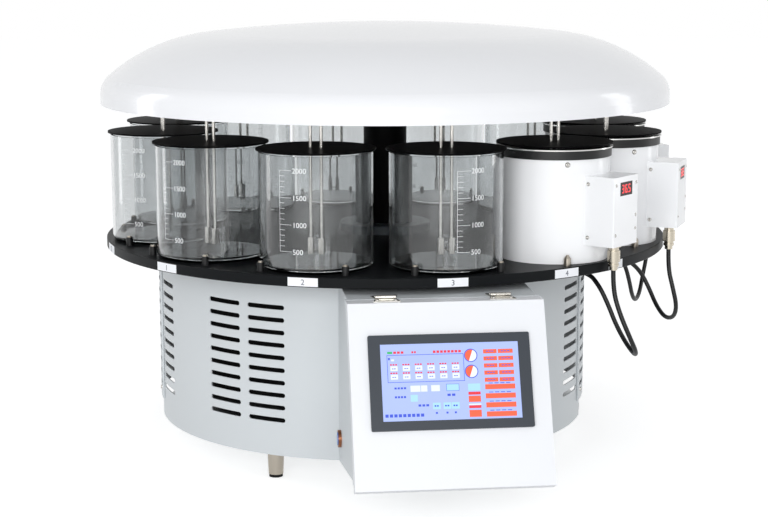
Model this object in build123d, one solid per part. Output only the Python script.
# Bench-top carousel tissue processor: twelve stations on a round deck, a domed head that lifts
# and turns to carry the tissue baskets from bath to bath, and a drum cabinet with a control box.
# Millimetres, +Z up. The origin is on the bench, on the axis of the carousel; -Y is the front.

from build123d import *
import math
import os

os.makedirs("parts", exist_ok=True)

# Heights and the deck
FOOT_HEIGHT = 40.0            # bench to the underside of the cabinet
CABINET_HEIGHT = 239.0
DECK_THICKNESS = 13.0
DECK_RADIUS = 388.0
DECK_TOP = FOOT_HEIGHT + CABINET_HEIGHT + DECK_THICKNESS
DECK_BOTTOM = DECK_TOP - DECK_THICKNESS
DECK_EDGE_BEVEL = 1.0
FIT_GAP = 0.3                 # clearance between still pieces that slip together
RUNNING_GAP = 0.05            # radial clearance where something turns or slides

# Cabinet: a drum a little left of the carousel axis
CABINET_RADIUS = 297.0
CABINET_SHIFT_X = -19.0
SHEET = 1.5
REAR_COVER_WALL = 2.0
REAR_COVER_RISE = 25.0        # its lower edge stands this much above the front shell's
COVER_SEAMS = (-75.3, 72.3)    # where the cover starts, degrees from the front, left and right
COVER_OVERLAP = 4.0
SLOT_ROWS = 10
SLOT_PITCH = 16.3
SLOT_HEIGHT = 6.0
SLOT_SPAN = 10.4              # degrees
SLOT_GAP = 2.5                # degrees between the two slots of a pair
SLOT_TOP_DROP = 45.3          # deck underside to the middle of the top row
SLOT_PAIRS_FRONT = [-33.0]
SLOT_PAIRS_REAR = [124.0, 152.0, 208.0, 236.0]
BASE_PLATE_THICKNESS = 4.0

# Feet
FOOT_SPACING_X = 286.0
FOOT_SPACING_Y = 458.0
FOOT_TOP_RADIUS = 11.25
FOOT_BOTTOM_RADIUS = 9.75
PAD_HEIGHT = 4.0
PAD_RADIUS = 9.0

# Stations
STATIONS = 12
STATION_RADIUS = 310.0
STATION_ZERO = -75.84         # degrees from the front to where station 0 would be
WAX_STATIONS = [4, 5, 6]
BEAKER_RADIUS = 70.7
BEAKER_HEIGHT = 143.0
BEAKER_WALL = 3.0
BEAKER_BASE = 7.0
BEAKER_CORNER = 7.0
POST_REACH = 6.0              # beaker wall to the middle of a post
POST_RADIUS = 4.5
POST_HEIGHT = 11.0
POST_TIP_RADIUS = 3.2
POST_TIP_HEIGHT = 1.6
PIN_HEIGHT = 13.0

# Wax baths
BATH_RADIUS = 70.2
COLLAR_HEIGHT = 11.0
COLLAR_RADIUS = 72.5
FLANGE_THICKNESS = 1.5
FLANGE_RADIUS = 74.3
POT_RADIUS = 62.0
POT_WALL = 1.5
POT_FLOOR_RISE = 14.0
BATH_TURNS = {4: 9.0, 5: -4.0, 6: 0.0}   # how each bath is turned on its seat, degrees
METER_WIDTH = 60.0
METER_REACH = 105.0           # bath axis to the face of the control box
METER_TOP_DROP = 33.0         # bath top to the top of the control box
METER_HEIGHT = 87.0
METER_EDGE = 1.5
WINDOW_WIDTH = 30.0
WINDOW_HEIGHT = 17.0
WINDOW_DROP = 7.0
WINDOW_DEPTH = 1.0
PLUG_REACH = 89.0             # bath axis to the cable connector
PLUG_LENGTH = 33.0

# Cables from the wax baths to the cabinet wall
CABLE_RADIUS = 3.0
CABLE_LEAD = 26.0             # straight run at each end
GLAND_ANGLES = {4: 58.0, 5: 79.5, 6: 93.0}
GLAND_DROP = 17.0             # deck underside to the gland's axis
GLAND_LENGTH = 14.0
GLAND_RADIUS = 7.0
CABLE_ROUTES = {
    4: [(296, -283, 226), (308, -288, 198), (318, -276, 177), (321, -250, 166), (313, -225, 175),
        (301, -209, 197), (291, -201, 223), (280, -196, 246)],
    5: [(388, -121, 230), (394, -122, 204), (393, -104, 185), (385, -80, 180), (376, -58, 193),
        (367, -46, 216), (355, -43, 239), (336, -49, 256)],
    6: [(384, 101, 229), (379, 99, 203), (373, 83, 183), (364, 60, 176), (356, 38, 188),
        (350, 24, 210), (343, 14, 233), (334, 12, 252)],
}

# Lids and hangers
LID_GAP = 2.5                 # beaker rim to the underside of a lid at rest
LID_THICKNESS = 2.0
LID_RADIUS = 74.3
ROD_RADIUS = 2.0
ROD_SPACING = 14.0
HOOK_BOTTOM = 15.0            # above the deck
HOOK_HEIGHT = 20.0
HOOK_WIDTH = 6.5
HOOK_WIRE_RADIUS = 1.0
CLIP_THICKNESS = 2.0
CLIP_WIDTH = 9.0
ROD_NUT_RADIUS = 4.0
ROD_NUT_HEIGHT = 3.2

# Dome and the turning head
DOME_RADIUS = 391.6
DOME_RIM_RISE = 182.5         # deck to the rim of the dome
DOME_WALL = 3.0
DOME_EDGE_HEIGHT = 12.9       # upright part of the rim
DOME_EDGE_RADIUS = 30.5
DOME_SHOULDER_RADIUS = 242.0
DOME_EDGE_SLOPE = 40.7        # slope where the edge arc meets the shoulder, degrees
DOME_CROWN_SLOPE = 6.3        # slope where the shoulder meets the crown, degrees
LEDGE_DEPTH = 12.0
LEDGE_THICKNESS = 3.0
HEAD_PLATE_RISE = 7.5         # rim of the dome to the head plate
HEAD_PLATE_THICKNESS = 4.0
HUB_RADIUS = 44.0
HUB_FLANGE_RADIUS = 55.0
HUB_FLANGE_THICKNESS = 4.0
HUB_TOP_BORE = 20.0

# Index drive: a hollow rotary table on the spindle, whose output ring carries the head
OUTPUT_RING_RADIUS = 40.0
OUTPUT_RING_HEIGHT = 12.0
TABLE_RADIUS = 48.0
TABLE_HEIGHT = 24.0
INDEX_MOTOR_SIZE = 42.0
INDEX_MOTOR_HEIGHT = 38.0
INDEX_MOTOR_OFFSET = 75.0     # carousel axis to the motor's axis
MOTOR_REGISTER_RADIUS = 11.0
MOTOR_REGISTER_DEPTH = 2.0

# Lift column
LIFT_TRAVEL = 150.0
SLEEVE_RADIUS = 30.0
SLEEVE_BORE = 26.0
SLEEVE_LAND = 30.0            # length of the bored guide at each end
SLEEVE_TOP_RISE = 160.0       # deck to the top of the sleeve
LIFT_TUBE_RADIUS = 24.0
LIFT_TUBE_BORE = 12.0
LIFT_TUBE_BOTTOM = 200.0
THRUST_RADIUS = 40.0
THRUST_THICKNESS = 6.0
SPINDLE_RADIUS = 16.0
BEARING_RADIUS = 32.0
BEARING_HEIGHT = 12.0
KEY_WIDTH = 4.0
KEY_DEPTH = 3.0
KEY_HEIGHT = 25.0
NUT_FLANGE_RADIUS = 20.0
NUT_FLANGE_THICKNESS = 4.0
NUT_HEIGHT = 16.0
SCREW_RADIUS = 6.0
SCREW_TOP = 395.0
MOTOR_SIZE = 56.0
MOTOR_HEIGHT = 72.0
MOTOR_HOUSING_RADIUS = 48.0
MOTOR_HOUSING_WALL = 5.0
MOTOR_HOUSING_TOP = 138.0
COUPLER_RADIUS = 10.0
COUPLER_LENGTH = 16.0
COLUMN_COLLAR_RADIUS = 60.0
COLUMN_COLLAR_HEIGHT = 12.0

# Control box: a wedge-shaped box on the drum, with a sloping door hinged along its top edge
BOX_TURN = 6.7                # degrees from the front
BOX_SIDE_SHIFT = 22.0
BOX_TOP_DROP = 7.5            # deck underside to the top of the box
BOX_WIDTH = 228.0
BOX_WALL = 2.0
BOX_FRONT_BOTTOM = 72.0       # height of the front lower edge above the bench
BOX_PANEL_REACH = 300.0       # carousel axis to the inner back panel
FRAME_WIDTH = 233.0
FRAME_DEPTH = 5.0
FRAME_BORDER = 10.0
DOOR_TOP_REACH = 431.8        # carousel axis to the top front edge of the door
DOOR_TILT = 23.7              # degrees from upright
DOOR_WIDTH = 233.0
DOOR_HEIGHT = 219.0
DOOR_DEPTH = 20.0
DOOR_GAP = 3.0
DOOR_WALL = 2.0
BEZEL_WIDTH = 190.0
BEZEL_HEIGHT = 112.0
BEZEL_THICKNESS = 4.0
BEZEL_CENTRE_DROP = 95.0      # door top edge to the middle of the screen, along the slope
BEZEL_CORNER = 2.0
SCREEN_WIDTH = 162.0
SCREEN_HEIGHT = 90.0
SCREEN_THICKNESS = 2.0
SCREEN_RECESS = 0.6
PANEL_BODY_WIDTH = 176.0
PANEL_BODY_HEIGHT = 98.0
PANEL_BODY_DEPTH = 30.0

# Butterfly hinges
HINGE_SPACING = 138.0
HINGE_WIDTH = 32.0
HINGE_BARREL = 24.0
HINGE_KNUCKLE = 11.2          # length of the door's knuckle
HINGE_SIDE_GAP = 0.3
HINGE_RADIUS = 2.5
HINGE_PIN_RADIUS = 1.25
HINGE_LEAF_THICKNESS = 1.2
HINGE_LEAF_LENGTH = 17.0

# Power button on the left wall of the box
BUTTON_REACH = 312.0
BUTTON_HEIGHT = 76.0
BUTTON_RING_RADIUS = 11.0
BUTTON_RING_PROUD = 4.0
BUTTON_BODY_RADIUS = 9.5
BUTTON_RADIUS = 8.0
BUTTON_BODY_LENGTH = 24.0
BUTTON_LENGTH = 14.0
BUTTON_PROUD = 0.8
BUTTON_BORE_DEPTH = 20.0

# Electrics
SUPPLY_SIZE = (150.0, 90.0, 150.0)
SUPPLY_POSITION = (-175.0, 60.0)
BOARD_SIZE = (150.0, 2.0, 110.0)
BOARD_STAND_OFF = 8.0
INLET_ANGLE = 180.0
INLET_HEIGHT = 95.0
INLET_FLANGE = (50.0, 28.0)
INLET_BODY = (31.0, 23.0)
INLET_RECESS = (25.0, 17.0)
INLET_RECESS_DEPTH = 17.0
INLET_BODY_DEPTH = 30.0
INLET_FLANGE_THICKNESS = 4.0

# Heights that follow from the sizes above
BEAKER_TOP = DECK_TOP + BEAKER_HEIGHT
LID_BOTTOM = BEAKER_TOP + LID_GAP
DOME_RIM = DECK_TOP + DOME_RIM_RISE
PLATE_BOTTOM = DOME_RIM + HEAD_PLATE_RISE
PLATE_TOP = PLATE_BOTTOM + HEAD_PLATE_THICKNESS
HUB_FLANGE_TOP = PLATE_TOP + HUB_FLANGE_THICKNESS
BEARING_TOP = PLATE_TOP - HEAD_PLATE_THICKNESS - 2.0
BEARING_BOTTOM = BEARING_TOP - BEARING_HEIGHT
THRUST_BOTTOM = BEARING_BOTTOM - THRUST_THICKNESS
OUTPUT_RING_TOP = HUB_FLANGE_TOP + OUTPUT_RING_HEIGHT
SPINDLE_TOP = OUTPUT_RING_TOP + FIT_GAP
TABLE_TOP = SPINDLE_TOP + TABLE_HEIGHT
PLATE_FLOOR_TOP = FOOT_HEIGHT + BASE_PLATE_THICKNESS
BOX_TOP = DECK_BOTTOM - BOX_TOP_DROP
HOOK_TOP = DECK_TOP + HOOK_BOTTOM + HOOK_HEIGHT
METER_TOP = BEAKER_TOP - METER_TOP_DROP
GLAND_LEVEL = DECK_BOTTOM - GLAND_DROP


# Placing: each piece is drawn at the front or on the axis, then turned to its own place
def turned(angle, shape):
    return Rot(0, 0, angle) * shape


def station_angle(number):
    return STATION_ZERO + 360.0 / STATIONS * number


def at_station(number, shape):
    return turned(station_angle(number), Pos(0, -STATION_RADIUS, 0) * shape)


def on_cabinet(shape):
    return Pos(CABINET_SHIFT_X, 0, 0) * shape


def on_box(shape):
    return turned(BOX_TURN, Pos(BOX_SIDE_SHIFT, 0, 0) * shape)


def rod(radius, bottom, top):
    return Pos(0, 0, bottom) * Cylinder(radius, top - bottom, align=(Align.CENTER, Align.CENTER, Align.MIN))


def tube(radius, bore, bottom, top):
    return rod(radius, bottom, top) - rod(bore, bottom, top)


def block(width, depth, bottom, top, x=0.0, y=0.0):
    return Pos(x, y, bottom) * Box(width, depth, top - bottom, align=(Align.CENTER, Align.CENTER, Align.MIN))


def sector(radius, start, end, bottom, top):
    """A wedge of a disc between two angles counted from the front."""
    steps = max(2, math.ceil((end - start) / 60))
    rim = 1.5 * radius
    points = [(0, 0)]
    for step in range(steps + 1):
        angle = math.radians(start + (end - start) * step / steps)
        points.append((rim * math.sin(angle), -rim * math.cos(angle)))
    face = make_face(Polyline(*points, close=True))
    return Pos(0, 0, bottom) * extrude(face, top - bottom)


def revolved(points):
    """Turn a closed outline of (radius, height) points about the axis."""
    face = make_face(Polyline(*[(r, 0, z) for r, z in points], close=True))
    return revolve(face, Axis.Z)


def group(pieces):
    return Compound(children=list(pieces))


def save(name, shape):
    export_step(shape, f"parts/{name}.step")


# Cabinet
def slot_cutters(bank_angles):
    """Radial rounded slots, one column of rows at each angle in the list."""
    half = math.radians(SLOT_SPAN / 2) * CABINET_RADIUS - SLOT_HEIGHT / 2
    flat = Rot(90, 0, 0) * SlotCenterToCenter(2 * half, SLOT_HEIGHT)
    cutter = Pos(0, -CABINET_RADIUS + 25, 0) * extrude(flat, 40)
    cutters = []
    for angle in bank_angles:
        for row in range(SLOT_ROWS):
            height = DECK_BOTTOM - SLOT_TOP_DROP - row * SLOT_PITCH
            cutters.append(turned(angle, Pos(0, 0, height) * cutter))
    return cutters


def pair_angles(centres):
    half = (SLOT_SPAN + SLOT_GAP) / 2
    return [centre + side * half for centre in centres for side in (-1, 1)]


def make_cabinet_shell():
    drum = tube(CABINET_RADIUS, CABINET_RADIUS - SHEET, FOOT_HEIGHT, DECK_BOTTOM)
    left, right = COVER_SEAMS
    drum = drum & sector(CABINET_RADIUS, left - COVER_OVERLAP, right + COVER_OVERLAP, FOOT_HEIGHT, DECK_BOTTOM)
    half_pair = (SLOT_SPAN + SLOT_GAP) / 2
    for cutter in slot_cutters(pair_angles(SLOT_PAIRS_FRONT) + [left + half_pair, right - half_pair]):
        drum -= cutter
    shell = on_cabinet(drum - gland_holes(inside=True))
    window = block(BOX_WIDTH - 60, 60, BOX_FRONT_BOTTOM + 20, BOX_TOP - 20, y=-CABINET_RADIUS + 10)
    return shell - on_box(window)


def make_rear_cover():
    inner = CABINET_RADIUS + FIT_GAP
    outer = inner + REAR_COVER_WALL
    bottom = FOOT_HEIGHT + REAR_COVER_RISE
    cover = tube(outer, inner, bottom, DECK_BOTTOM)
    left, right = COVER_SEAMS
    cover = cover & sector(outer, right, 360 + left, bottom, DECK_BOTTOM)
    half_pair = (SLOT_SPAN + SLOT_GAP) / 2
    for cutter in slot_cutters(pair_angles(SLOT_PAIRS_REAR) + [left - half_pair, right + half_pair]):
        cover -= cutter
    width, height = INLET_BODY
    hole = block(width + 2 * FIT_GAP, 40, INLET_HEIGHT - height / 2 - FIT_GAP,
                 INLET_HEIGHT + height / 2 + FIT_GAP, y=-outer)
    return on_cabinet(cover - turned(INLET_ANGLE, hole) - gland_holes(inside=False))


def make_base_plate():
    return on_cabinet(rod(CABINET_RADIUS - SHEET - FIT_GAP, FOOT_HEIGHT, PLATE_FLOOR_TOP))


def foot_places():
    return [(sx * FOOT_SPACING_X / 2, sy * FOOT_SPACING_Y / 2) for sy in (-1, 1) for sx in (-1, 1)]


def make_feet():
    leg = Pos(0, 0, PAD_HEIGHT) * Cone(
        FOOT_BOTTOM_RADIUS, FOOT_TOP_RADIUS, FOOT_HEIGHT - PAD_HEIGHT,
        align=(Align.CENTER, Align.CENTER, Align.MIN))
    return group([Pos(x, y, 0) * leg for x, y in foot_places()])


def make_foot_pads():
    return group([Pos(x, y, 0) * rod(PAD_RADIUS, 0, PAD_HEIGHT) for x, y in foot_places()])


def make_deck():
    deck = chamfer(rod(DECK_RADIUS, DECK_BOTTOM, DECK_TOP).edges(), DECK_EDGE_BEVEL)
    return deck - rod(SLEEVE_RADIUS + FIT_GAP, DECK_BOTTOM, DECK_TOP)


# Stations
def post_places():
    reach = (BEAKER_RADIUS + POST_REACH) * math.sqrt(0.5)
    return [(side * reach, -reach) for side in (-1, 1)]


def beaker_stations():
    return [n for n in range(1, STATIONS + 1) if n not in WAX_STATIONS]


def make_deck_posts():
    post = rod(POST_RADIUS, DECK_TOP, DECK_TOP + POST_HEIGHT)
    return group([at_station(n, Pos(x, y, 0) * post) for n in beaker_stations() for x, y in post_places()])


def make_locating_pins():
    tip_bottom = DECK_TOP + POST_HEIGHT
    tip = rod(POST_TIP_RADIUS, tip_bottom, tip_bottom + POST_TIP_HEIGHT)
    straight = DECK_TOP + PIN_HEIGHT - POST_RADIUS
    nose = Pos(0, 0, straight) * Cone(POST_RADIUS, POST_RADIUS / 3, POST_RADIUS,
                                      align=(Align.CENTER, Align.CENTER, Align.MIN))
    pin = rod(POST_RADIUS, DECK_TOP, straight) + nose
    pieces = [at_station(n, Pos(x, y, 0) * tip) for n in beaker_stations() for x, y in post_places()]
    pieces += [place_bath(n, Pos(x, y, 0) * pin) for n in WAX_STATIONS for x, y in post_places()]
    return group(pieces)


def make_beaker(number):
    glass = rod(BEAKER_RADIUS, DECK_TOP, BEAKER_TOP)
    glass = fillet(glass.edges().sort_by(Axis.Z)[0], BEAKER_CORNER)
    glass -= rod(BEAKER_RADIUS - BEAKER_WALL, DECK_TOP + BEAKER_BASE, BEAKER_TOP)
    return at_station(number, glass)


# Wax baths
def place_bath(number, shape):
    return at_station(number, turned(BATH_TURNS[number], shape))


def collar_bottom():
    return BEAKER_TOP - FLANGE_THICKNESS - COLLAR_HEIGHT


def make_bath_housing(number):
    body = rod(BATH_RADIUS, DECK_TOP, collar_bottom())
    body -= rod(POT_RADIUS + FIT_GAP, DECK_TOP + POT_FLOOR_RISE - POT_WALL, collar_bottom())
    return place_bath(number, body)


def make_bath_pots():
    floor = DECK_TOP + POT_FLOOR_RISE
    under = BEAKER_TOP - FLANGE_THICKNESS
    outline = [(0, floor - POT_WALL), (POT_RADIUS, floor - POT_WALL), (POT_RADIUS, under),
               (FLANGE_RADIUS, under), (FLANGE_RADIUS, BEAKER_TOP),
               (POT_RADIUS - POT_WALL, BEAKER_TOP), (POT_RADIUS - POT_WALL, floor), (0, floor)]
    return group([place_bath(n, revolved(outline)) for n in WAX_STATIONS])


def make_bath_collars():
    ring = tube(COLLAR_RADIUS, POT_RADIUS + FIT_GAP, collar_bottom(), BEAKER_TOP - FLANGE_THICKNESS)
    return group([place_bath(n, ring) for n in WAX_STATIONS])


def window_pocket(depth):
    top = METER_TOP - WINDOW_DROP
    return block(WINDOW_WIDTH, depth, top - WINDOW_HEIGHT, top, y=-METER_REACH + depth / 2)


def make_bath_control_box(number):
    near = BATH_RADIUS / 2
    case = block(METER_WIDTH, METER_REACH - near, METER_TOP - METER_HEIGHT, METER_TOP,
                 y=-(METER_REACH + near) / 2)
    case = fillet(case.edges().filter_by(Axis.Z), METER_EDGE)
    case -= rod(BATH_RADIUS, DECK_TOP, BEAKER_TOP)
    return place_bath(number, case - window_pocket(WINDOW_DEPTH))


def make_bath_displays():
    return group([place_bath(n, window_pocket(WINDOW_DEPTH)) for n in WAX_STATIONS])


def make_cable_connectors():
    top = METER_TOP - METER_HEIGHT
    rings = [(9.5, 3.0), (6.5, 5.0), (8.2, 14.0), (6.2, 3.0), (7.0, 3.0), (5.2, PLUG_LENGTH - 28.0)]
    outline = [(0, top)]
    height = top
    for radius, length in rings:
        outline += [(radius, height), (radius, height - length)]
        height -= length
    outline.append((0, height))
    plug = Pos(0, -PLUG_REACH, 0) * revolved(outline)
    return group([place_bath(n, plug) for n in WAX_STATIONS])


def plug_end(number):
    """Where the cable leaves the connector."""
    spot = place_bath(number, Pos(0, -PLUG_REACH, METER_TOP - METER_HEIGHT - PLUG_LENGTH))
    return Vector(*spot.position)


def gland_axis(number):
    angle = math.radians(GLAND_ANGLES[number])
    return Vector(math.sin(angle), -math.cos(angle), 0)


def wall_radius(number):
    """Outer radius of the sheet that a gland goes through: the front shell or the rear cover."""
    behind = GLAND_ANGLES[number] > COVER_SEAMS[1]
    return CABINET_RADIUS + (FIT_GAP + REAR_COVER_WALL if behind else 0)


def gland_shape(number, radius, start, end):
    """A round piece on a cable's hole in the cabinet wall, from start to end along its axis."""
    piece = Pos(0, -wall_radius(number) - start, GLAND_LEVEL) * Rot(90, 0, 0) * Cylinder(
        radius, end - start, align=(Align.CENTER, Align.CENTER, Align.MIN))
    return turned(GLAND_ANGLES[number], piece)


def gland_holes(inside):
    """The cable holes in the front shell, or those in the rear cover."""
    numbers = [n for n in WAX_STATIONS if (GLAND_ANGLES[n] < COVER_SEAMS[1]) == inside]
    return [gland_shape(n, GLAND_RADIUS - 2.0 + FIT_GAP, -8.0, 8.0) for n in numbers]


def make_cable_glands():
    pieces = []
    for number in WAX_STATIONS:
        drum = rod(wall_radius(number), FOOT_HEIGHT, DECK_BOTTOM)
        nut = gland_shape(number, GLAND_RADIUS, -1.0, GLAND_LENGTH - 4.0) - drum
        cap = gland_shape(number, GLAND_RADIUS - 1.5, GLAND_LENGTH - 4.0, GLAND_LENGTH)
        barrel = gland_shape(number, GLAND_RADIUS - 2.0, -6.0, 0.0)
        pieces.append(on_cabinet(nut + cap + barrel))
    return group(pieces)


def cable_points(number):
    start = plug_end(number)
    centre = Vector(CABINET_SHIFT_X, 0, GLAND_LEVEL)
    end = centre + gland_axis(number) * (wall_radius(number) + GLAND_LENGTH)
    lead_out = start - Vector(0, 0, CABLE_LEAD)
    lead_in = end + gland_axis(number) * CABLE_LEAD
    return [start, lead_out] + [Vector(*p) for p in CABLE_ROUTES[number]] + [lead_in, end]


def make_cable(number):
    points = cable_points(number)
    radii = []
    for before, here, after in zip(points, points[1:], points[2:]):
        turn = math.radians((here - before).get_angle(after - here))
        shorter = min((here - before).length, (after - here).length)
        radii.append(0.45 * shorter / math.tan(turn / 2))
    path = FilletPolyline(*points, radius=radii)
    section = Plane(origin=points[0], z_dir=points[1] - points[0]) * Circle(CABLE_RADIUS)
    cable = sweep(section, path=path)
    print(f"bath_cable_{number}: length {path.length:.1f}, tightest radius {min(radii):.1f},",
          f"volume over section and length {cable.volume / (math.pi * CABLE_RADIUS ** 2 * path.length):.4f}")
    print("   points", [tuple(round(v, 1) for v in p) for p in points])
    return cable


# Head
def rod_places():
    return [(side * ROD_SPACING / 2, 0) for side in (-1, 1)]


def every_station(shape):
    return group([at_station(n, shape) for n in range(1, STATIONS + 1)])


def make_lids():
    lid = rod(LID_RADIUS, LID_BOTTOM, LID_BOTTOM + LID_THICKNESS)
    for x, y in rod_places():
        lid -= Pos(x, y, 0) * rod(ROD_RADIUS + RUNNING_GAP, LID_BOTTOM, LID_BOTTOM + LID_THICKNESS)
    return every_station(lid)


def make_hanger_rods():
    return group([at_station(n, Pos(x, y, 0) * rod(ROD_RADIUS, HOOK_TOP, PLATE_TOP))
                  for n in range(1, STATIONS + 1) for x, y in rod_places()])


def make_hanger_hooks():
    bottom = HOOK_TOP - HOOK_HEIGHT
    wire = Pos(0, 0, bottom + HOOK_HEIGHT / 4) * Rot(0, 90, 0) * Cylinder(HOOK_WIRE_RADIUS, ROD_SPACING)
    hook = wire
    for x, y in rod_places():
        hook += block(HOOK_WIDTH, HOOK_WIDTH, bottom, HOOK_TOP, x=x, y=y)
    return every_station(hook)


def make_hanger_clips():
    clip = block(ROD_SPACING + CLIP_WIDTH, CLIP_WIDTH, LID_BOTTOM - CLIP_THICKNESS, LID_BOTTOM)
    nuts = []
    for x, y in rod_places():
        clip -= Pos(x, y, 0) * rod(ROD_RADIUS, LID_BOTTOM - CLIP_THICKNESS, LID_BOTTOM)
        nut = extrude(RegularPolygon(ROD_NUT_RADIUS, 6), ROD_NUT_HEIGHT)
        nuts.append(Pos(x, y, PLATE_TOP) * nut)
    return group([at_station(n, piece) for n in range(1, STATIONS + 1) for piece in [clip] + nuts])


def dome_curve(inset):
    """Outline of the dome from the rim to the crown: upright edge, edge arc, shoulder and crown."""
    edge, shoulder = DOME_EDGE_RADIUS, DOME_SHOULDER_RADIUS
    slope_out = math.radians(DOME_EDGE_SLOPE)
    slope_in = math.radians(DOME_CROWN_SLOPE)
    edge_c = (DOME_RADIUS - edge, DOME_RIM + DOME_EDGE_HEIGHT)
    shoulder_c = (edge_c[0] - (shoulder - edge) * math.sin(slope_out),
                  edge_c[1] - (shoulder - edge) * math.cos(slope_out))
    crown = shoulder + shoulder_c[0] / math.sin(slope_in)
    crown_c = (0.0, shoulder_c[1] - (crown - shoulder) * math.cos(slope_in))

    def on(centre, radius, slope):
        return (centre[0] + (radius - inset) * math.sin(slope), 0,
                centre[1] + (radius - inset) * math.cos(slope))

    half_out = (math.pi / 2 + slope_out) / 2
    half_in = (slope_out + slope_in) / 2
    rim = (DOME_RADIUS - inset, 0, DOME_RIM)
    return rim, [
        Line(rim, on(edge_c, edge, math.pi / 2)),
        ThreePointArc(on(edge_c, edge, math.pi / 2), on(edge_c, edge, half_out), on(edge_c, edge, slope_out)),
        ThreePointArc(on(edge_c, edge, slope_out), on(shoulder_c, shoulder, half_in),
                      on(shoulder_c, shoulder, slope_in)),
        ThreePointArc(on(shoulder_c, shoulder, slope_in), on(crown_c, crown, slope_in / 2),
                      on(crown_c, crown, 0)),
    ], on(crown_c, crown, 0)


def make_dome():
    outer_rim, outer, outer_top = dome_curve(0)
    inner_rim, inner, inner_top = dome_curve(DOME_WALL)
    face = make_face(Wire(outer + [Line(outer_top, inner_top)] + inner + [Line(inner_rim, outer_rim)]))
    dome = revolve(face, Axis.Z)
    inside = DOME_RADIUS - DOME_WALL
    ledge = tube(inside + 1.0, inside - LEDGE_DEPTH, PLATE_TOP, PLATE_TOP + LEDGE_THICKNESS)
    return dome + ledge


def make_head_plate():
    plate = rod(DOME_RADIUS - DOME_WALL - FIT_GAP, PLATE_BOTTOM, PLATE_TOP)
    plate -= rod(HUB_RADIUS + FIT_GAP, PLATE_BOTTOM, PLATE_TOP)
    hole = rod(ROD_RADIUS + RUNNING_GAP, PLATE_BOTTOM, PLATE_TOP)
    for number in range(1, STATIONS + 1):
        for x, y in rod_places():
            plate -= at_station(number, Pos(x, y, 0) * hole)
    return plate


def make_head_hub():
    bore = BEARING_RADIUS + RUNNING_GAP
    seat = BEARING_TOP + FIT_GAP
    outline = [(bore, BEARING_BOTTOM + 1.0), (HUB_RADIUS, BEARING_BOTTOM + 1.0), (HUB_RADIUS, PLATE_TOP),
               (HUB_FLANGE_RADIUS, PLATE_TOP), (HUB_FLANGE_RADIUS, HUB_FLANGE_TOP),
               (HUB_TOP_BORE, HUB_FLANGE_TOP), (HUB_TOP_BORE, seat), (bore, seat)]
    return revolved(outline)


def make_output_ring():
    return tube(OUTPUT_RING_RADIUS, HUB_TOP_BORE, HUB_FLANGE_TOP, OUTPUT_RING_TOP)


def at_index_motor(shape):
    return Pos(0, INDEX_MOTOR_OFFSET, 0) * shape


def make_index_table():
    end_radius = INDEX_MOTOR_SIZE / 2 + 6.0
    table = rod(TABLE_RADIUS, SPINDLE_TOP, TABLE_TOP) + at_index_motor(rod(end_radius, SPINDLE_TOP, TABLE_TOP))
    table += block(2 * end_radius, INDEX_MOTOR_OFFSET, SPINDLE_TOP, TABLE_TOP, y=INDEX_MOTOR_OFFSET / 2)
    table -= at_index_motor(rod(MOTOR_REGISTER_RADIUS + FIT_GAP, TABLE_TOP - MOTOR_REGISTER_DEPTH, TABLE_TOP))
    return table - rod(SPINDLE_RADIUS / 2, SPINDLE_TOP, TABLE_TOP)


def make_index_motor():
    body = block(INDEX_MOTOR_SIZE, INDEX_MOTOR_SIZE, TABLE_TOP, TABLE_TOP + INDEX_MOTOR_HEIGHT)
    body = chamfer(body.edges().filter_by(Axis.Z), INDEX_MOTOR_SIZE / 10)
    return at_index_motor(body + rod(MOTOR_REGISTER_RADIUS, TABLE_TOP - MOTOR_REGISTER_DEPTH, TABLE_TOP))


# Lift column
def make_column_sleeve():
    top = DECK_TOP + SLEEVE_TOP_RISE
    guide = LIFT_TUBE_RADIUS + RUNNING_GAP
    inner_top = MOTOR_HOUSING_TOP - 8.0
    housing_bore = MOTOR_HOUSING_RADIUS - MOTOR_HOUSING_WALL
    outline = [
        (housing_bore, PLATE_FLOOR_TOP), (MOTOR_HOUSING_RADIUS + 14, PLATE_FLOOR_TOP),
        (MOTOR_HOUSING_RADIUS + 14, PLATE_FLOOR_TOP + 6), (MOTOR_HOUSING_RADIUS, PLATE_FLOOR_TOP + 6),
        (MOTOR_HOUSING_RADIUS, MOTOR_HOUSING_TOP), (SLEEVE_RADIUS, MOTOR_HOUSING_TOP), (SLEEVE_RADIUS, top),
        (guide, top), (guide, top - SLEEVE_LAND), (SLEEVE_BORE, top - SLEEVE_LAND),
        (SLEEVE_BORE, LIFT_TUBE_BOTTOM + SLEEVE_LAND + 10), (guide, LIFT_TUBE_BOTTOM + SLEEVE_LAND + 10),
        (guide, inner_top), (housing_bore, inner_top)]
    sleeve = revolved(outline)
    inner = LIFT_TUBE_RADIUS - KEY_DEPTH + FIT_GAP
    key = block(KEY_WIDTH - FIT_GAP, SLEEVE_BORE + 1 - inner, top - KEY_HEIGHT, top,
                y=(SLEEVE_BORE + 1 + inner) / 2)
    return sleeve + key


def make_column_collar():
    ring = tube(COLUMN_COLLAR_RADIUS, SLEEVE_RADIUS, DECK_TOP, DECK_TOP + COLUMN_COLLAR_HEIGHT)
    return chamfer(ring.edges().group_by(Axis.Z)[-1], DECK_EDGE_BEVEL)


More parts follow.
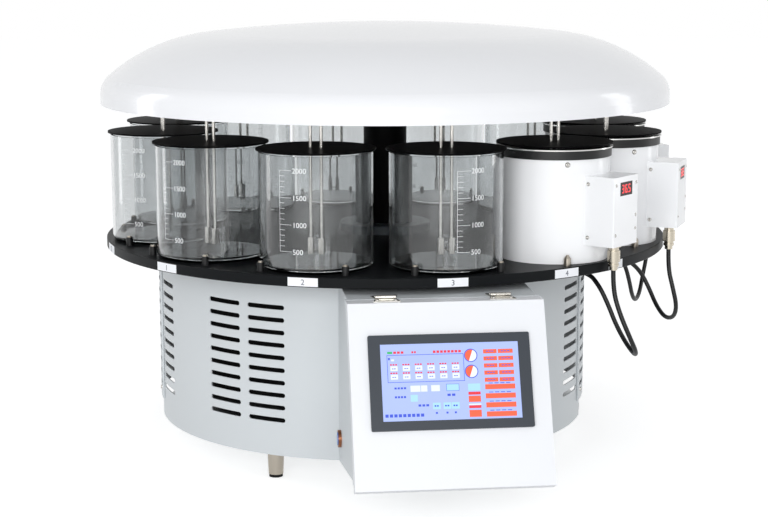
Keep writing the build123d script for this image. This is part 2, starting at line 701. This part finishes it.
def make_lift_tube():
    outline = [
        (LIFT_TUBE_BORE, LIFT_TUBE_BOTTOM), (LIFT_TUBE_RADIUS, LIFT_TUBE_BOTTOM),
        (LIFT_TUBE_RADIUS, THRUST_BOTTOM), (THRUST_RADIUS, THRUST_BOTTOM), (THRUST_RADIUS, BEARING_BOTTOM),
        (SPINDLE_RADIUS, BEARING_BOTTOM), (SPINDLE_RADIUS, SPINDLE_TOP), (SPINDLE_RADIUS / 2, SPINDLE_TOP),
        (SPINDLE_RADIUS / 2, TABLE_TOP + 4.0), (0, TABLE_TOP + 4.0), (0, THRUST_BOTTOM),
        (LIFT_TUBE_BORE, THRUST_BOTTOM)]
    spine = revolved(outline)
    keyway = block(KEY_WIDTH, 2 * KEY_DEPTH, LIFT_TUBE_BOTTOM + 5, DECK_TOP + SLEEVE_TOP_RISE + 2.0,
                   y=LIFT_TUBE_RADIUS)
    return spine - keyway


def make_lift_nut():
    bottom = LIFT_TUBE_BOTTOM - NUT_FLANGE_THICKNESS
    nut = rod(NUT_FLANGE_RADIUS, bottom, LIFT_TUBE_BOTTOM)
    nut += rod(LIFT_TUBE_BORE - FIT_GAP, LIFT_TUBE_BOTTOM, LIFT_TUBE_BOTTOM + NUT_HEIGHT)
    return nut - rod(SCREW_RADIUS + RUNNING_GAP, bottom, LIFT_TUBE_BOTTOM + NUT_HEIGHT)


def make_head_bearing():
    bearing = tube(BEARING_RADIUS, SPINDLE_RADIUS, BEARING_BOTTOM, BEARING_TOP)
    groove = 3.0
    middle = (BEARING_RADIUS + SPINDLE_RADIUS) / 2
    return bearing - tube(middle + groove, middle - groove, BEARING_TOP - 1.0, BEARING_TOP)


def make_lift_motor():
    top = PLATE_FLOOR_TOP + MOTOR_HEIGHT
    body = block(MOTOR_SIZE, MOTOR_SIZE, PLATE_FLOOR_TOP, top)
    body = chamfer(body.edges().filter_by(Axis.Z), MOTOR_SIZE / 10)
    body += rod(MOTOR_SIZE / 3, top, top + 2.0)
    return body - rod(SCREW_RADIUS - 2.0 + RUNNING_GAP, top - 16.0, top + 2.0)


def make_lead_screw():
    top = PLATE_FLOOR_TOP + MOTOR_HEIGHT
    coupler_bottom = top + 2.0 + FIT_GAP
    screw = rod(SCREW_RADIUS - 2.0, top - 15.0, coupler_bottom)
    screw += rod(COUPLER_RADIUS, coupler_bottom, coupler_bottom + COUPLER_LENGTH)
    return screw + rod(SCREW_RADIUS, coupler_bottom + COUPLER_LENGTH, SCREW_TOP)


# Control box and its door, drawn with the box at the front and turned into place
TILT = math.radians(DOOR_TILT)


def door_plane(inset):
    """Plane parallel to the door face, inset behind it, square to the door's top front edge."""
    outward = Vector(0, -math.cos(TILT), math.sin(TILT))
    return Plane(origin=Vector(0, -DOOR_TOP_REACH, BOX_TOP) - outward * inset, x_dir=(1, 0, 0), z_dir=outward)


def slab(inset, width, low, high, depth, x=0.0):
    """A plate parallel to the door: low and high count down the slope from the top edge."""
    face = Pos(x, -(low + high) / 2) * Rectangle(width, high - low)
    return extrude(door_plane(inset) * face, -depth)


def below_top(shape):
    """Cut away what stands above the level top of the box and door."""
    return shape - block(2 * DOOR_WIDTH, 400, BOX_TOP, BOX_TOP + 100, y=-DOOR_TOP_REACH)


def frame_inset():
    return DOOR_DEPTH + DOOR_GAP


def slope_to(height, inset):
    """Distance down the slope from the door's top edge to a level, on an inset plane."""
    return (BOX_TOP - inset * math.sin(TILT) - height) / math.cos(TILT)


def wedge(inset, reach_back, low_lift, top_drop, width):
    """The side outline of the box, from a distance back to the plane of its front."""
    front_top = DOOR_TOP_REACH - inset / math.cos(TILT)

    def front_at(height):
        return front_top + (BOX_TOP - height) * math.tan(TILT)

    back_floor = CABINET_RADIUS - 10.0
    full_front = DOOR_TOP_REACH - frame_inset() / math.cos(TILT)
    full_front += (BOX_TOP - BOX_FRONT_BOTTOM) * math.tan(TILT)
    rise = (BOX_FRONT_BOTTOM - FOOT_HEIGHT) / (full_front - back_floor)

    def floor_at(reach):
        return FOOT_HEIGHT + rise * (reach - back_floor) + low_lift

    top = BOX_TOP - top_drop
    low_front = front_at(BOX_FRONT_BOTTOM + low_lift)
    points = [(reach_back, floor_at(reach_back)), (low_front, floor_at(low_front)),
              (front_at(top), top), (reach_back, top)]
    face = make_face(Polyline(*[(0, -reach, height) for reach, height in points], close=True))
    return Pos(-width / 2, 0, 0) * extrude(face, width, dir=(1, 0, 0))


def make_control_box():
    back = CABINET_RADIUS - 60.0
    inner_width = BOX_WIDTH - 2 * BOX_WALL
    panel_front = BOX_PANEL_REACH + BOX_WALL
    box = wedge(frame_inset(), back, 0, 0, BOX_WIDTH)
    box -= wedge(frame_inset() - 2.0, panel_front, BOX_WALL, BOX_WALL, inner_width)
    behind = wedge(frame_inset(), back - 1.0, BOX_WALL, BOX_WALL, inner_width)
    box -= behind & block(2 * BOX_WIDTH, 200, 0, BOX_TOP, y=-BOX_PANEL_REACH + 100)
    low = slope_to(BOX_FRONT_BOTTOM, frame_inset())
    high = slope_to(BOX_TOP, frame_inset())
    ring = slab(frame_inset(), FRAME_WIDTH, high - 10, low, FRAME_DEPTH)
    ring -= slab(frame_inset() - 1.0, inner_width - 2 * FRAME_BORDER, high + FRAME_BORDER,
                 low - FRAME_BORDER, FRAME_DEPTH + 2.0)
    box = box + below_top(ring)
    button = (-BOX_WIDTH / 2, -BUTTON_REACH, BUTTON_HEIGHT)
    box -= Pos(*button) * Rot(0, 90, 0) * Cylinder(BUTTON_BODY_RADIUS + FIT_GAP, 4 * BOX_WALL)
    return on_box(box) - on_cabinet(rod(CABINET_RADIUS + RUNNING_GAP, 0, DECK_BOTTOM))


def make_control_door():
    door = below_top(slab(0, DOOR_WIDTH, -DOOR_DEPTH, DOOR_HEIGHT, DOOR_DEPTH))
    hollow = slab(DOOR_WALL, DOOR_WIDTH - 2 * DOOR_WALL, -DOOR_DEPTH, DOOR_HEIGHT - DOOR_WALL, DOOR_DEPTH)
    hollow -= block(2 * DOOR_WIDTH, 400, BOX_TOP - DOOR_WALL, BOX_TOP + 100, y=-DOOR_TOP_REACH)
    low = BEZEL_CENTRE_DROP - PANEL_BODY_HEIGHT / 2 - FIT_GAP
    high = BEZEL_CENTRE_DROP + PANEL_BODY_HEIGHT / 2 + FIT_GAP
    window = slab(-1.0, PANEL_BODY_WIDTH + 2 * FIT_GAP, low, high, DOOR_WALL + 2.0)
    return on_box(door - hollow - window)


def make_screen_bezel():
    low = BEZEL_CENTRE_DROP - BEZEL_HEIGHT / 2
    bezel = slab(-BEZEL_THICKNESS, BEZEL_WIDTH, low, low + BEZEL_HEIGHT, BEZEL_THICKNESS)
    outward = Axis((0, 0, 0), tuple(door_plane(0).z_dir))
    bezel = fillet(bezel.edges().filter_by(outward), BEZEL_CORNER)
    body = slab(0, PANEL_BODY_WIDTH, BEZEL_CENTRE_DROP - PANEL_BODY_HEIGHT / 2,
                BEZEL_CENTRE_DROP + PANEL_BODY_HEIGHT / 2, PANEL_BODY_DEPTH)
    return on_box(bezel + body - screen_shape(-BEZEL_THICKNESS, SCREEN_RECESS + SCREEN_THICKNESS))


def screen_shape(inset, depth):
    return slab(inset, SCREEN_WIDTH, BEZEL_CENTRE_DROP - SCREEN_HEIGHT / 2,
                BEZEL_CENTRE_DROP + SCREEN_HEIGHT / 2, depth)


def make_screen_glass():
    return on_box(screen_shape(SCREEN_RECESS - BEZEL_THICKNESS, SCREEN_THICKNESS))


# Hinges
def hinge_reach():
    """Carousel axis to the hinge axis: the middle of the gap between box and door."""
    return DOOR_TOP_REACH - (DOOR_DEPTH + DOOR_GAP / 2) / math.cos(TILT)


def hinge_level():
    return BOX_TOP + HINGE_RADIUS + 0.1


def hinge_barrel(radius, x_from, x_to):
    cylinder = Rot(0, 90, 0) * Cylinder(radius, x_to - x_from)
    return Pos((x_from + x_to) / 2, -hinge_reach(), hinge_level()) * cylinder


def hinge_leaf(side, notch):
    """One wing: side is +1 towards the cabinet, -1 over the door; notch is the half width left free."""
    near, far = 0.0, HINGE_LEAF_LENGTH
    outline = [(-HINGE_BARREL / 2, near), (HINGE_BARREL / 2, near), (HINGE_WIDTH / 2, far),
               (-HINGE_WIDTH / 2, far)]
    face = make_face(Polyline(*[(x, -hinge_reach() + side * y) for x, y in outline], close=True))
    leaf = Pos(0, 0, BOX_TOP) * extrude(face, HINGE_LEAF_THICKNESS)
    clear = HINGE_RADIUS + 0.5
    for x_from, x_to in notch:
        leaf -= block(x_to - x_from, 2 * clear, BOX_TOP, BOX_TOP + 2 * HINGE_RADIUS + 2,
                      x=(x_from + x_to) / 2, y=-hinge_reach())
    return leaf


def each_hinge(shape):
    return [on_box(Pos(side * HINGE_SPACING / 2, 0, 0) * shape) for side in (-1, 1)]


def make_box_hinges():
    knuckle, barrel = HINGE_KNUCKLE / 2, HINGE_BARREL / 2
    free = knuckle + HINGE_SIDE_GAP
    leaf = hinge_leaf(1, [(-free, free)])
    for x_from, x_to in ((-barrel, -free), (free, barrel)):
        leaf += hinge_barrel(HINGE_RADIUS, x_from, x_to)
    leaf -= hinge_barrel(HINGE_PIN_RADIUS, -barrel, barrel)
    pin = hinge_barrel(HINGE_PIN_RADIUS, -barrel, barrel)
    return group(each_hinge(leaf) + each_hinge(pin))


def make_door_hinge_leaves():
    knuckle, barrel = HINGE_KNUCKLE / 2, HINGE_BARREL / 2
    leaf = hinge_leaf(-1, [(-barrel - 4, -knuckle), (knuckle, barrel + 4)])
    leaf += hinge_barrel(HINGE_RADIUS, -knuckle, knuckle)
    leaf -= hinge_barrel(HINGE_PIN_RADIUS + RUNNING_GAP, -knuckle, knuckle)
    return group(each_hinge(leaf))


# Power button
def along_button(radius, start, end):
    """A round piece on the button's axis; distances count inwards from the wall of the box."""
    cylinder = Rot(0, 90, 0) * Cylinder(radius, end - start, align=(Align.CENTER, Align.CENTER, Align.MIN))
    return Pos(-BOX_WIDTH / 2 + start, -BUTTON_REACH, BUTTON_HEIGHT) * cylinder


def make_power_button_ring():
    ring = along_button(BUTTON_RING_RADIUS, -BUTTON_RING_PROUD, 0)
    ring += along_button(BUTTON_BODY_RADIUS, 0, BUTTON_BODY_LENGTH)
    ring -= along_button(BUTTON_RADIUS + RUNNING_GAP, -BUTTON_RING_PROUD, BUTTON_BORE_DEPTH)
    return on_box(ring)


def make_power_button():
    start = -BUTTON_RING_PROUD - BUTTON_PROUD
    return on_box(along_button(BUTTON_RADIUS, start, start + BUTTON_LENGTH))


# Electrics
def make_power_supply():
    width, depth, height = SUPPLY_SIZE
    x, y = SUPPLY_POSITION
    case = block(width, depth, PLATE_FLOOR_TOP, PLATE_FLOOR_TOP + height, x=x, y=y)
    return chamfer(case.edges().filter_by(Axis.Z), 2.0)


def make_control_board():
    width, thickness, height = BOARD_SIZE
    back = BOX_PANEL_REACH + BOX_WALL + BOARD_STAND_OFF
    bottom = BOX_FRONT_BOTTOM + 40.0
    board = block(width, thickness, bottom, bottom + height, y=-back - thickness / 2)
    for x in (-width / 2 + 8, width / 2 - 8):
        for z in (bottom + 8, bottom + height - 8):
            board += Pos(x, -back + BOARD_STAND_OFF / 2, z) * Rot(90, 0, 0) * Cylinder(3.0, BOARD_STAND_OFF)
    front = -back - thickness
    parts = [(-48, 30, 34, 22, 16), (-6, 30, 30, 22, 16), (34, 30, 26, 22, 16), (0, 78, 40, 30, 3),
             (-50, 84, 18, 30, 12), (52, 84, 24, 16, 9)]
    for x, up, wide, tall, deep in parts:
        board += block(wide, deep, bottom + up - tall / 2, bottom + up + tall / 2, x=x, y=front - deep / 2)
    return on_box(board)


def make_power_inlet():
    outer = CABINET_RADIUS + FIT_GAP + REAR_COVER_WALL

    def plate(size, near, far):
        width, height = size
        return block(width, far - near, INLET_HEIGHT - height / 2, INLET_HEIGHT + height / 2,
                     y=-(near + far) / 2)

    flange = plate(INLET_FLANGE, outer - 2.0, outer - 2.0 + INLET_FLANGE_THICKNESS)
    flange -= rod(outer, 0, DECK_BOTTOM)
    face = outer - 2.0 + INLET_FLANGE_THICKNESS
    body = plate(INLET_BODY, face - INLET_BODY_DEPTH, face)
    recess = plate(INLET_RECESS, face - INLET_RECESS_DEPTH, face)
    return on_cabinet(turned(INLET_ANGLE, flange + body - recess))


# Base
save("base_plate", make_base_plate())
save("cabinet_shell", make_cabinet_shell())
save("rear_cover", make_rear_cover())
save("feet", make_feet())
save("foot_pads", make_foot_pads())
save("deck", make_deck())
save("deck_posts", make_deck_posts())
save("locating_pins", make_locating_pins())
save("column_sleeve", make_column_sleeve())
save("column_collar", make_column_collar())
save("lift_motor", make_lift_motor())
save("power_supply", make_power_supply())
save("power_inlet", make_power_inlet())
save("control_board", make_control_board())
save("control_box", make_control_box())
save("box_hinges", make_box_hinges())
save("power_button_ring", make_power_button_ring())
save("cable_glands", make_cable_glands())
for station in beaker_stations():
    save(f"beaker_{station:02d}", make_beaker(station))
for station in WAX_STATIONS:
    save(f"bath_housing_{station}", make_bath_housing(station))
    save(f"bath_control_box_{station}", make_bath_control_box(station))
    save(f"bath_cable_{station}", make_cable(station))
save("bath_pots", make_bath_pots())
save("bath_collars", make_bath_collars())
save("bath_displays", make_bath_displays())
save("cable_connectors", make_cable_connectors())

# Door, button and screw
save("control_door", make_control_door())
save("screen_bezel", make_screen_bezel())
save("screen_glass", make_screen_glass())
save("door_hinge_leaves", make_door_hinge_leaves())
save("power_button", make_power_button())
save("lead_screw", make_lead_screw())

# Lift column and the index drive that it carries
save("lift_tube", make_lift_tube())
save("lift_nut", make_lift_nut())
save("head_bearing", make_head_bearing())
save("index_table", make_index_table())
save("index_motor", make_index_motor())

# Turning head
save("head_hub", make_head_hub())
save("output_ring", make_output_ring())
save("head_plate", make_head_plate())
save("dome", make_dome())
save("lids", make_lids())
save("hanger_rods", make_hanger_rods())
save("hanger_hooks", make_hanger_hooks())
save("hanger_clips", make_hanger_clips())

box_axis = on_box(Pos(0, -hinge_reach(), hinge_level())).position
button_spot = on_box(Pos(-BOX_WIDTH / 2, -BUTTON_REACH, BUTTON_HEIGHT)).position
print("door hinge axis at", [round(v, 2) for v in box_axis], "button at", [round(v, 2) for v in button_spot])
